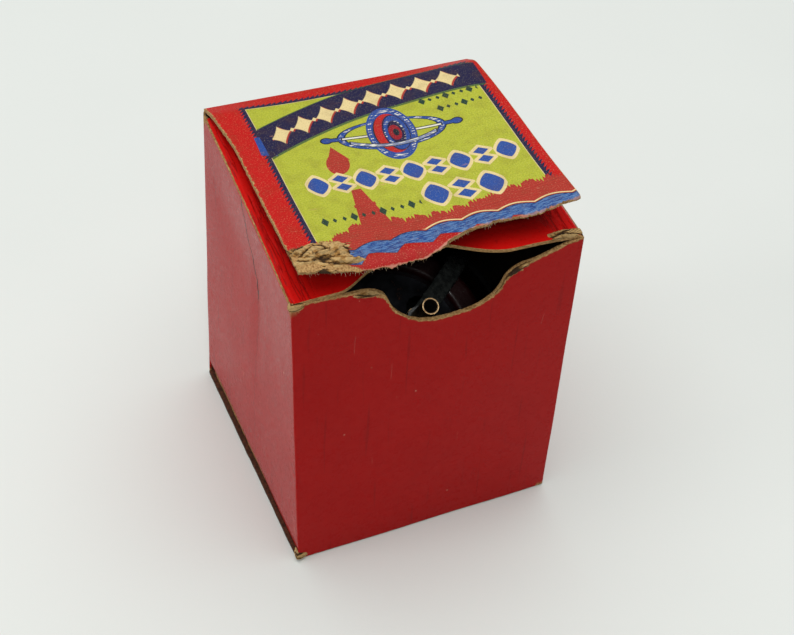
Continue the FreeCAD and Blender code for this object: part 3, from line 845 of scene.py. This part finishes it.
def row_cells(x, s, start, end, middle, slope, pitch):
    """Counts the cells of a row, and gives a point's place in its cell and whether it is in the row."""
    steps = (x - start) / pitch
    cell = (steps.fraction() - 0.5) * pitch
    return steps, cell, s - middle - x * slope, x.over(start, 0.02) * x.under(end, 0.02)


def lay_beads(finish, x, s, row, half_x, half_s):
    """A row of bold blue ornaments with cream outlines: a wide lozenge, then a narrow one, and so on."""
    steps, cell, up, inside = row_cells(x, s, *row)
    other = (steps * 0.5).fraction().over(0.5, 0.001)
    wide = ((abs(cell) / half_x) ** 1.35 + (abs(up) / half_s) ** 1.35 - 1) * half_x * 0.62
    pair = lozenge(cell, abs(up) - half_s * 0.5, half_x * 0.8, half_s * 0.46)
    bead = wide * (1 - other) + pair * other
    finish.lay(printed(bead - 0.62) * inside, CREAM)
    worn_blue = finish.blend(finish.paper_grain(0.3, 2.0).over(0.5, 0.3) * 0.4, BLUE, ink(60, 96, 172))
    finish.lay(printed(bead) * inside, worn_blue)


def lay_dashes(finish, x, s, row, half_s):
    """Small dark lozenges in a row, with a larger one at every third."""
    steps, cell, up, inside = row_cells(x, s, *row)
    large = (steps.floor() / 3.0).fraction().under(0.2, 0.01)
    mark = (abs(cell) / (0.42 + large * 0.34) + abs(up) / (half_s * (0.55 + large * 0.45)) - 1) * 0.4
    finish.lay(printed(mark) * inside, ink(34, 62, 50))


def lay_skyline(finish, x, s):
    column = (x / 0.62).floor()
    uneven = ((column * 12.99).sine() * 437.58).fraction()
    jag = zigzag(x + 3.3, 3.9) * 0.9 + uneven * 1.5 * zigzag(x + 0.31, 0.62)
    roll = (x * 0.21 + 0.6).sine() * 0.9
    top = 47.6 + roll + jag + (x + 19.5).under(4.0, 6.0) * 2.0
    beacon_half = 0.95 + (s - 37.0) * 0.17
    beacon = (abs(x + 8.8) - beacon_half).most(37.0 - s)
    steps_up = (abs(x + 8.8) - 2.1).most(abs(s - 42.2) - 0.5)
    lamp = ellipse(x + 9.3 + (s - 27.5) * 0.12, s - 28.2, 2.3, 3.4)
    spire = (abs(x + 9.0) * 2.2 - (s - 22.4)).most(s - 27.5)
    shape = (top - s).least(beacon).least(steps_up).least(lamp).least(spire)
    lines = zigzag(s + finish.paper_grain(3.0, 2.0, (0.4, 2, 1)) * 0.9, 0.62).over(0.72, 0.2)
    brick = finish.blend(lines * 0.5, BRICK, ink(140, 34, 34))
    finish.lay(printed(shape) * s.under(56.5, 0.1), brick)


def lay_waves(finish, x, s):
    swell = abs((x * 0.44 + 0.4).sine())
    top = 53.6 - swell * 1.0 + squared(x - 4) * 0.0035
    bottom = top + 2.6 + abs((x * 0.44 - 0.5).sine()) * 0.9
    crest = (top - 0.75 - s).most(s - top + 0.4)
    finish.lay(printed(crest) * x.over(-1.0, 1.0), CREAM)
    band = (top - s).most(s - bottom)
    finish.stamp(band - 0.2, ink(20, 34, 62))
    streak = finish.paper_grain(0.55, 3.0, (0.35, 1.6, 1.0))
    water = finish.blend(streak.over(0.5, 0.12), ink(30, 66, 132), ink(84, 122, 174))
    finish.stamp(band, water)
    foot = (bottom + 0.1 - s)
    finish.lay(printed(foot) * s.over(54.0, 0.1), RED)


# %% Mix the label finish from its shapes
def label_paper():
    finish = Finish("printed_label")
    x, s = finish.place("UV")[1][:2]
    finish.base = finish.blend(finish.paper_grain(9.0, 3.0).over(0.5, 0.6) * 0.3, LABEL_RED, RED)
    lay_border(finish, x, s)
    lay_skyline(finish, x, s)
    lay_ribbon(finish, x, s)
    lay_gyroscope(finish, x, s)
    lay_beads(finish, x, s, (-17.6, 24.6, 34.9, 0.068, 4.69), 2.0, 2.7)
    lay_beads(finish, x, s, (2.2, 18.5, 43.4, 0.09, 5.43), 2.35, 3.2)
    lay_dashes(finish, x, s, (12.4, 24.8, 13.0, 0.08, 1.65), 1.25)
    lay_dashes(finish, x, s, (14.9, 24.8, 16.8, 0.08, 1.65), 1.25)
    lay_dashes(finish, x, s, (-18.6, 1.4, 45.0, -0.01, 1.9), 1.4)
    lay_waves(finish, x, s)

    fleck = finish.paper_grain(0.26, 2.0)
    finish.lay(fleck.over(0.64, 0.12) * 0.2, ink(236, 226, 170))
    finish.lay(fleck.under(0.38, 0.14) * 0.3, ink(52, 34, 20))
    soil = finish.paper_grain(3.2, 4.0)
    finish.lay(soil.over(0.56, 0.2) * 0.16, ink(96, 60, 24))
    rub = finish.paper_grain(0.8, 4.0)
    scuff = finish.paper_grain(2.6, 3.0, (0.5, 2.2, 1.0)).over(0.70, 0.06) * rub.over(0.5, 0.2)
    finish.lay(scuff * 0.4, ink(214, 150, 120))
    from_left, from_front = finish.place("margins")[1][:2]
    left_edge = (from_left - rub * 1.2 + 0.4).under(0.0, 0.2)
    right_edge = (x - (28.62 - rub * 0.35)).over(0.0, 0.2)
    front_edge = (from_front - rub * 0.6 + 0.1).under(0.0, 0.2)
    finish.lay(front_edge * 0.6, ink(206, 156, 132))
    bare = finish.blend(finish.paper_grain(0.35, 3.0).over(0.5, 0.4), KRAFT_DARK, KRAFT)
    corner = (from_left * 0.5 + from_front * 1.3 - 6.0 + (rub - 0.5) * 2.0).under(0.0, 0.4)
    worn = left_edge.most(right_edge).most(corner)
    finish.lay(worn, bare)
    height = fleck * 0.25 + rub * 0.3 + finish.paper_grain(6.0, 2.0) * 0.8 - worn * 0.9
    roughness = 0.42 + rub * 0.12 + worn * 0.35
    return finish.finish(roughness, height, depth=0.05, specular=0.21)


LABEL = label_paper()
print("label nodes:", len(LABEL.node_tree.nodes))

# %% [markdown]
# ## The lid
# The lid hinges on the back wall in a rounded fold. Damp has warped it, so its right corner stands highest.
# Its tuck flap has been torn off, and the strip that is left curls down along the left part of the front
# edge. One sheet carries all of this, with the print's flat coordinates kept for the label.

# %% Warp the lid and curl its torn strip
CURL_RADIUS = 3.2
CURL_START = 56.7
STRIP_END = 59.4


def lid_angle(x):
    return math.radians(LID_REST + 0.1 + 0.04 * x + 0.0025 * x * x)


def lid_left(s):
    return -HALF_WIDTH + 0.2 + 1.3 * ramp(s, 0, 20)


def lid_length(x):
    return STRIP_END - 3.4 * ramp(x, -6, 9) + 1.0 * ramp(x, 11, 20) - 1.5 * ramp(-x, 14, 27)


def curl_start(x):
    return CURL_START + 3.1 * ramp(x, -2, 9)


def lid_frame(x, s):
    """The point under the lid at x, a distance s from the fold, and the way its upper face looks."""
    angle = lid_angle(x)
    start = curl_start(x)
    bend = max(0.0, s - start) / CURL_RADIUS
    straight = min(s, start)
    run = straight * math.cos(angle)
    climb = straight * math.sin(angle)
    if bend:
        run += CURL_RADIUS * (math.sin(angle) + math.sin(bend - angle))
        climb -= CURL_RADIUS * (math.cos(angle) - math.cos(bend - angle))
    hump = 0.5 + 1.9 * ramp(x, 2, HALF_WIDTH) ** 1.5 + 0.9 * ramp(-x, 8, HALF_WIDTH)
    climb += hump * ramp(s, -1, 6) * (1 - ramp(s, 8, 55))
    climb += 0.2 * rough(x * 0.07, s * 0.07, 5) * ramp(s, 0, 15)
    tilt = angle - bend
    return Vector((x, HALF_DEPTH - run, LID_FOLD + climb)), Vector((0, math.sin(tilt), math.cos(tilt)))


def lid_place(share_x, share_s):
    rough_x = -HALF_WIDTH + 2 * HALF_WIDTH * share_x
    tear = 0.45 * rough(rough_x * 0.45, 1.7, 0) + 0.28 * rough(rough_x * 1.7, 0, 0)
    s = share_s * (lid_length(rough_x) + tear * ramp(share_s, 0.9, 1))
    left = lid_left(s) + 0.16 * rough(0, s * 0.9, 2)
    x = left + (HALF_WIDTH - left) * share_x
    under, up = lid_frame(x, s)
    margins = (x - left, lid_length(rough_x) - s)
    rounding = BOARD * rounded(s / 0.8) + 0.7 * BOARD * rounded(margins[1] / 0.7) * ramp(x, 5, 13)
    return under + up * (BOARD - rounding), under, (x, s), margins


lid_columns = spread(0, 1, 130)
lid_rows = spread(0, 0.03, 6) + spread(0.03, 0.93, 90)[1:] + spread(0.93, 1, 16)[1:]
lid_finishes = [LABEL, INNER_FACE, TORN_EDGE]
lid_mesh = board_mesh("lid_board", lid_columns, lid_rows, lid_place, lid_finishes, swell=0.06)
lid_board = add_object("lid_board", lid_mesh, "lid", "printed_label")
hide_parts("lid_panel", "lid_label", "lid_tuck_stub")

# %% [markdown]
# ## Peeled plies and loose fibres
# Board is several thin plies pasted together. Where a corner has been knocked for years they come apart and
# lie in crumpled steps. A peeled patch is a small creased mesh whose height climbs in steps inside an
# irregular outline. The loose fibres under the torn edge are fine tapered hairs.

# %% Mix the finish of the peeled plies
def peeled_plies():
    finish = Finish("peeled_plies")
    steps, crease = finish.place("UV")[1][:2]
    fibres = finish.grain(0.45, 4.0, (1.0, 3.0, 3.0))
    finish.base = finish.blend(fibres.over(0.5, 0.3), ink(112, 72, 32), ink(188, 140, 74))
    # shadow darkens the step edges and crease hollows as painted shade; pale lightens the crease ridges as a
    # painted highlight.
    shadow = (abs(steps.fraction() - 0.5).over(0.38, 0.12) * 0.7).most(crease.under(0.46, 0.34))
    finish.lay(shadow * 0.92, ink(30, 15, 6))
    pale = crease.over(0.7, 0.3) * finish.grain(1.5, 3.0).over(0.45, 0.15)
    finish.lay(pale * 0.55, ink(226, 192, 134))
    return finish.finish(0.8, fibres - shadow, depth=0.12, specular=0.25)


PLIES = peeled_plies()


# %% Lay a patch of peeled plies on a surface
PLIES_DEEP = 5
PLY_STEP = 0.14
PATCH_COLUMNS = 90
PATCH_ROWS = 50


def peeled(name, surface, middle, half, turn, body, seed, ply):
    """surface(a, b) gives a point and its outward way; the patch is an uneven oval round middle."""
    turned = math.radians(turn)
    points, unders, marks = [], [], []
    for row in spread(-1, 1, PATCH_ROWS):
        for column in spread(-1, 1, PATCH_COLUMNS):
            a, b = column * half[0] * 1.25, row * half[1] * 1.25
            place_a = middle[0] + a * math.cos(turned) - b * math.sin(turned)
            place_b = middle[1] + a * math.sin(turned) + b * math.cos(turned)
            waves = rough(a * 0.22, b * 0.6, seed) * 0.6
            waves += rough(a * 0.8, b * 1.6, seed) * 0.13
            inside = 1 - math.hypot(a / half[0], b / half[1]) + waves
            level = inside * PLIES_DEEP
            height = -ply + sum(ply * ramp(level, step, step + PLY_STEP) for step in range(PLIES_DEEP))
            height += ply * 0.8 * ramp(level, 0, 4)
            height += 0.12 * rough(a * 2.1, b * 2.7, seed + 3) * ramp(level, 0, 1)
            crease = min(1.0, abs(rough(a * 0.2, b * 1.15 + a * 0.12, seed + 6)) * 4.5)
            height += ply * 1.7 * (crease - 0.3) * ramp(level, 0, 1.2)
            point, out = surface(place_a, place_b)
            points.append((point + out * height) * MM)
            unders.append((point - out * (ply + 0.06)) * MM)
            marks.append((level / 100, crease / 100))
    width = PATCH_COLUMNS + 1
    corners = [row * width + column for row in range(PATCH_ROWS) for column in range(PATCH_COLUMNS)]
    tops = [
        (corner, corner + 1, corner + width + 1, corner + width) for corner in corners
        if max(marks[corner][0], marks[corner + width + 1][0]) > -0.004
    ]
    directed = {(face[turn], face[(turn + 1) % 4]) for face in tops for turn in (0, 1, 2, 3)}
    rim = sorted((a, b) for a, b in directed if (b, a) not in directed)
    below = len(points)
    faces = tops + [tuple(below + corner for corner in reversed(face)) for face in tops]
    faces += [(b, a, below + a, below + b) for a, b in rim]
    mesh = bpy.data.meshes.new(name)
    mesh.from_pydata(points + unders, [], faces)
    mesh.materials.append(PLIES)
    paper = mesh.uv_layers.new(name="UVMap")
    for corner in mesh.loops:
        paper.data[corner.index].uv = marks[corner.vertex_index % below]
    turn_outwards(mesh, 0.004)
    return add_object(name, mesh, body, "torn_board")


def lid_top(x, s):
    x = max(x, lid_left(s) - 0.15)
    under, up = lid_frame(x, min(s, lid_length(x) + 0.25))
    return under + up * BOARD, up


def flap_top(x, y):
    """The right flap's upper face."""
    reach = max(0.2, HALF_WIDTH - x)
    y = max(y, flap_fronts(1, reach) - 0.1)
    x, z = flap_face(1, reach, y)
    return Vector((x, y, z - BOARD * rounded(reach / FLAP_FOLD))), Vector((0, 0, 1))


def wall_corner(side):
    def surface(along, z):
        """Round the front fold on one side: along is 0 at the fold, and above 0 on the front wall."""
        angle = math.radians(45 + 45 * max(-1.0, min(1.0, along / 0.7)))
        out = Vector((side * math.cos(angle), -math.sin(angle), 0))
        x = side * (HALF_WIDTH - max(0.0, along))
        y = -HALF_DEPTH + max(0.0, -along)
        return Vector(twisted((x, y, z))), out
    return surface


def front_face(x, z):
    z = min(z, rim_height(x, -HALF_DEPTH) + 0.05)
    return Vector(twisted((x, -HALF_DEPTH - sink(x, -HALF_DEPTH, z), z))), Vector((0, -1, 0))


PATCHES = [
    ("peeled_lid_corner", lid_top, (-21.2, 54.3), (6.6, 3.5), 8, "lid", 1.0, 0.36),
    ("peeled_fold_left_top", wall_corner(-1), (0.6, RIM - 0.1), (1.9, 0.8), 0, "carton", 5.0, 0.14),
    ("peeled_flap_corner", flap_top, (25.8, -27.4), (3.4, 1.5), 4, "right_flap", 6.0, 0.13),
    ("peeled_fold_left_foot", wall_corner(-1), (0.5, 1.1), (2.2, 1.0), 0, "carton", 7.0, 0.12),
    ("peeled_notch_right", front_face, (15.2, RIM - 2.9), (3.6, 1.0), 24, "carton", 8.0, 0.1),
    ("peeled_notch_left", front_face, (-12.6, RIM - 0.9), (3.8, 0.7), -6, "carton", 9.0, 0.1),
]
for patch in PATCHES:
    peeled(*patch)


# %% Hang loose fibres under the torn edge
FIBRE_COUNT = 110
FIBRE_RADIUS = 0.05
FIBRE_RINGS = 6


def fibres(name, roots, body, slot):
    """roots: (start, way, length). Each fibre is a curved three-sided hair that thins to its end."""
    points, faces = [], []
    for number, (start, way, length) in enumerate(roots):
        side = way.orthogonal().normalized()
        other = way.cross(side).normalized()
        bend = noise.noise_vector(Vector((number * 1.7, 3.3, 0))) * 0.9
        first = len(points)
        for ring in range(FIBRE_RINGS + 1):
            share = ring / FIBRE_RINGS
            centre = start + (way * share + bend * share * share) * length
            radius = FIBRE_RADIUS * (1 - 0.8 * share)
            for turn in (0, 1, 2):
                angle = math.tau * turn / 3
                points.append((centre + (side * math.cos(angle) + other * math.sin(angle)) * radius) * MM)
        for ring in range(FIBRE_RINGS):
            for turn in (0, 1, 2):
                a, b = first + ring * 3 + turn, first + ring * 3 + (turn + 1) % 3
                faces.append((a, b, b + 3, a + 3))
        faces.append((first + 2, first + 1, first))
        faces.append(tuple(first + FIBRE_RINGS * 3 + turn for turn in (0, 1, 2)))
    mesh = bpy.data.meshes.new(name)
    mesh.from_pydata(points, [], faces)
    mesh.materials.append(PALE_FIBRE)
    mesh.polygons.foreach_set("use_smooth", [True] * len(mesh.polygons))
    return add_object(name, mesh, body, slot)


PALE_FIBRE = bare_board("pale_fibre", ink(236, 222, 196), ink(186, 156, 112), 0.02)
edge_roots = []
for number in range(FIBRE_COUNT):
    x = -27.0 + 54.5 * (number + 0.8 * rough(number * 3.7, 0, 0)) / FIBRE_COUNT
    under, up = lid_frame(x, lid_length(x) - 0.1)
    stray = noise.noise_vector(Vector((number * 2.3, 8, 0)))
    forward = ramp(x, 0, 7)
    hanging = Vector((0, -0.5 - 0.4 * forward, -0.7 + 0.7 * forward))
    way = (hanging + stray * (1.1 - 0.7 * forward)).normalized()
    length = (0.35 + 0.9 * abs(rough(number * 5.1, 2, 0)) ** 0.7) * (1 - 0.6 * ramp(x, 8, 16))
    edge_roots.append((under + up * BOARD * 0.3, way, length))
fibres("torn_edge_fibres", edge_roots, "lid", "torn_board")

# %% [markdown]
# ## Gyroscope finishes
# The gyroscope's imported shapes are right as they are: turned, pressed and cast metal. They keep their
# meshes and get finishes: chipped black enamel, dulled brass and turned steel. Some colours here are
# painted light and shade: the frame ring's enamel is lighter, as painted light on its lit band, while
# the guard ring, the rotor's web and its red-painted rim are darkened nearly to black, and the brass
# tips are darkened inside their bores, all as painted shade.

# %% Mix the metals
def black_enamel(name, light, dark, dull):
    finish = Finish(name)
    scratch = finish.grain(0.5, 4.0)
    chips = finish.cells(1.7).under(0.16, 0.05) * finish.grain(3.0, 2.0).over(0.56, 0.08)
    finish.base = finish.blend(finish.grain(1.2, 3.0).over(0.55, 0.3), dark, light)
    finish.lay(chips, ink(140, 132, 118))
    roughness = 0.14 + dull + scratch * 0.22 + chips * 0.2
    height = finish.grain(0.35, 3.0) * 0.5 - chips
    return finish.finish(roughness, height, depth=0.04, metallic=chips, specular=0.5 - dull)


def from_axle(finish):
    """How far a point is from the leaning axle, in millimetres, for the painted shade inside a bore."""
    spin = joints["rotor_spin"]
    offsets = [part - middle / MM for part, middle in zip(finish.place()[1], spin["pos_m"])]
    along = offsets[0] * spin["axis"][0] + offsets[1] * spin["axis"][1] + offsets[2] * spin["axis"][2]
    square = squared(offsets[0]) + squared(offsets[1]) + squared(offsets[2]) - squared(along)
    return square.most(0.0) ** 0.5


def dull_brass():
    finish = Finish("dull_brass")
    tarnish = finish.grain(0.7, 4.0)
    finish.base = finish.blend(tarnish.over(0.5, 0.35), ink(206, 176, 134), ink(140, 104, 66))
    # The bore of each brass tip is darkened and dulled: painted shade inside the hole.
    inside = from_axle(finish).under(1.42, 0.1)
    finish.lay(inside, ink(62, 48, 38))
    roughness = 0.26 + tarnish * 0.25 + inside * 0.3
    return finish.finish(roughness, finish.grain(0.2, 3.0), depth=0.02, metallic=1.0 - inside * 0.6)


def turned_steel(name, light, dark):
    finish = Finish(name)
    ring = finish.grain(0.25, 3.0)
    stain = finish.grain(2.4, 4.0)
    finish.base = finish.blend(stain.over(0.55, 0.3), light, dark)
    rust = stain.over(0.68, 0.08) * finish.grain(0.5, 3.0).over(0.5, 0.2)
    finish.lay(rust * 0.6, ink(120, 72, 44))
    return finish.finish(0.32 + ring * 0.2 + rust * 0.3, ring, depth=0.02, metallic=1 - rust)


def painted_rim():
    finish = Finish("cast_rim_red_darkened_as_shade")
    pits = finish.grain(0.6, 4.0)
    wear = finish.grain(2.2, 4.0).over(0.66, 0.06)
    # The rim's red paint is darkened nearly to black: painted shade for the rotor deep in the box.
    finish.base = finish.blend(finish.grain(5.0, 3.0).over(0.5, 0.5) * 0.5, ink(66, 14, 15), ink(40, 10, 12))
    finish.lay(wear, ink(96, 94, 92))
    roughness = 0.35 + pits * 0.2 + wear * 0.1
    return finish.finish(roughness, pits - wear * 0.5, depth=0.08, metallic=wear, coat=0.2)


# The frame ring's enamel is a lighter copy of black enamel: painted light for its band, lit through the
# notch.
ENAMEL_PAINTED_LIT = black_enamel("black_enamel", ink(84, 88, 86), ink(48, 51, 50), 0.0)
# The guard ring's enamel is a darker, duller copy: painted shade that keeps it unseen inside the box.
DULL_ENAMEL_PAINTED_SHADE = black_enamel("dull_enamel_painted_shade", ink(34, 35, 36), ink(16, 17, 18), 0.35)
BRASS, RIM_RED_DARKENED_AS_SHADE = dull_brass(), painted_rim()
STEEL = turned_steel("turned_steel", ink(196, 196, 198), ink(140, 138, 134))
# The web's steel is darkened nearly to black: painted shade for the rotor deep in the box.
WEB_STEEL_PAINTED_SHADE = turned_steel("steel_darkened_as_shade", ink(62, 64, 70), ink(38, 38, 42))

# %% Give each gyroscope piece its finish
FINISHES = {
    "frame_ring": ENAMEL_PAINTED_LIT, "guard_ring": DULL_ENAMEL_PAINTED_SHADE,
    "frame_rivets": BRASS, "socket_tip": BRASS, "string_tip": BRASS, "tip_nuts": BRASS,
    "socket_bearing": STEEL, "axle": STEEL, "rotor_hub": STEEL,
    "rotor_web": WEB_STEEL_PAINTED_SHADE, "rotor_rim": RIM_RED_DARKENED_AS_SHADE,
}
for node_name, material in FINISHES.items():
    mesh = frame["nodes"][node_name].data
    mesh.materials.clear()
    mesh.materials.append(material)
print("finished", len(FINISHES), "gyroscope pieces")
